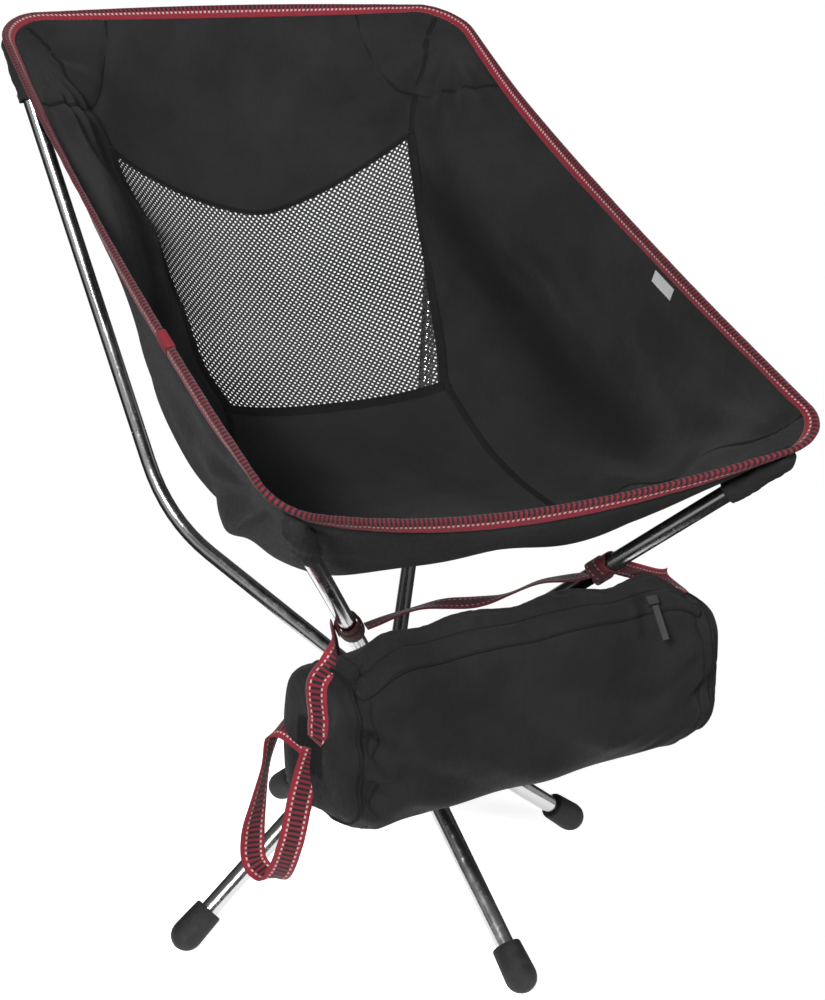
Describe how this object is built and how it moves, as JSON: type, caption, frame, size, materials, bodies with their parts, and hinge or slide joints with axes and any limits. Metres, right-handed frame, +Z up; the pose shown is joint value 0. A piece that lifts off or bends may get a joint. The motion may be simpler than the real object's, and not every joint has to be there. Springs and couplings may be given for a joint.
{
  "type": "camp chair",
  "caption": "Packable camp chair: bucket sling on shock-corded poles, turning on a swivel hub with plug-in legs, carry bag hung under the seat.",
  "frame": {"origin": "on the floor, at the middle of the chair's width and length", "axes": "+Z up, the seat faces -Y, +X to the right for someone facing the seat"},
  "size_m": [0.4558, 0.661, 0.7305],
  "materials": {
    "polished_aluminium": "polished tube",
    "bright_steel": "bright",
    "black_nylon": "moulded, satin",
    "white_acetal": "smooth",
    "dark_rubber": "matt",
    "black_fabric": "plain-woven polyester",
    "grey_mesh": "open knitted mesh",
    "red_webbing": "woven pattern of red, black and white",
    "elastic_cord": "braided sheath over rubber",
    "grey_label": "blank satin label"
  },
  "bodies": {
    "base": {"leg_hub": "black_nylon", "swivel_bolt": "bright_steel", "lower_washer": "bright_steel", "slip_washer": "white_acetal", "lock_nut": "bright_steel"},
    "leg_1": {"leg_tube_1": "polished_aluminium", "leg_foot_1": "dark_rubber", "leg_cord_1": "elastic_cord"},
    "leg_2": {"leg_tube_2": "polished_aluminium", "leg_foot_2": "dark_rubber", "leg_cord_2": "elastic_cord"},
    "leg_3": {"leg_tube_3": "polished_aluminium", "leg_foot_3": "dark_rubber", "leg_cord_3": "elastic_cord"},
    "leg_4": {"leg_tube_4": "polished_aluminium", "leg_foot_4": "dark_rubber", "leg_cord_4": "elastic_cord"},
    "seat": {"seat_hub": "black_nylon", "front_tip_cap_left": "black_nylon", "front_tip_cap_right": "black_nylon", "back_tip_cap_left": "black_nylon", "back_tip_cap_right": "black_nylon", "front_ferrule_left": "bright_steel", "front_ferrule_right": "bright_steel", "back_ferrule_low_left": "bright_steel", "back_ferrule_low_right": "bright_steel", "back_ferrule_high_left": "bright_steel", "back_ferrule_high_right": "bright_steel", "front_pole_lower_left": "polished_aluminium", "front_pole_lower_right": "polished_aluminium", "front_pole_upper_left": "polished_aluminium", "front_pole_upper_right": "polished_aluminium", "back_pole_lower_left": "polished_aluminium", "back_pole_lower_right": "polished_aluminium", "back_pole_middle_left": "polished_aluminium", "back_pole_middle_right": "polished_aluminium", "back_pole_upper_left": "polished_aluminium", "back_pole_upper_right": "polished_aluminium", "front_cord_left": "elastic_cord", "front_cord_right": "elastic_cord", "back_cord_left": "elastic_cord", "back_cord_right": "elastic_cord", "sling_fabric": "black_fabric", "front_pocket_left": "black_fabric", "front_pocket_right": "black_fabric", "back_pocket_left": "black_fabric", "back_pocket_right": "black_fabric", "mesh_panel": "grey_mesh", "edge_binding": "red_webbing", "pole_tie_left": "red_webbing", "pole_tie_right": "red_webbing", "side_tag": "grey_label"},
    "bag": {"bag_body": "black_fabric", "zip_tape": "black_nylon", "carry_strap": "red_webbing", "end_strap_left": "red_webbing", "end_strap_right": "red_webbing"},
    "zip": {"zip_slider": "bright_steel", "zip_pull": "black_nylon"},
    "loop": {"grab_loop": "red_webbing"}
  },
  "joints": [
    {"name": "seat_swivel", "type": "hinge", "parent": "base", "child": "seat", "pos_m": [0, -0.0373, 0.1756], "axis": [0, 0, 1], "continuous": true},
    {"name": "leg_1_pull", "type": "slide", "parent": "base", "child": "leg_1", "axis": [0.7738, 0.1032, -0.625], "range_m": [0, 0.03], "stiffness_N_per_m": 200, "springref_m": -0.02},
    {"name": "leg_2_pull", "type": "slide", "parent": "base", "child": "leg_2", "axis": [-0.1032, 0.7738, -0.625], "range_m": [0, 0.03], "stiffness_N_per_m": 200, "springref_m": -0.02},
    {"name": "leg_3_pull", "type": "slide", "parent": "base", "child": "leg_3", "axis": [-0.7738, -0.1032, -0.625], "range_m": [0, 0.03], "stiffness_N_per_m": 200, "springref_m": -0.02},
    {"name": "leg_4_pull", "type": "slide", "parent": "base", "child": "leg_4", "axis": [0.1032, -0.7738, -0.625], "range_m": [0, 0.03], "stiffness_N_per_m": 200, "springref_m": -0.02},
    {"name": "bag_swing", "type": "hinge", "parent": "seat", "child": "bag", "pos_m": [0.00865, -0.1833, 0.3224], "axis": [-0.9864, 0.1178, -0.1147], "range_deg": [0, 20]},
    {"name": "zip_slide", "type": "slide", "parent": "bag", "child": "zip", "axis": [-0.994, -0.1097, 0], "range_m": [0, 0.2]},
    {"name": "grab_loop_swing", "type": "hinge", "parent": "bag", "child": "loop", "pos_m": [-0.14457, -0.21877, 0.2405], "axis": [-0.1097, 0.994, 0], "range_deg": [0, 60]}
  ]
}
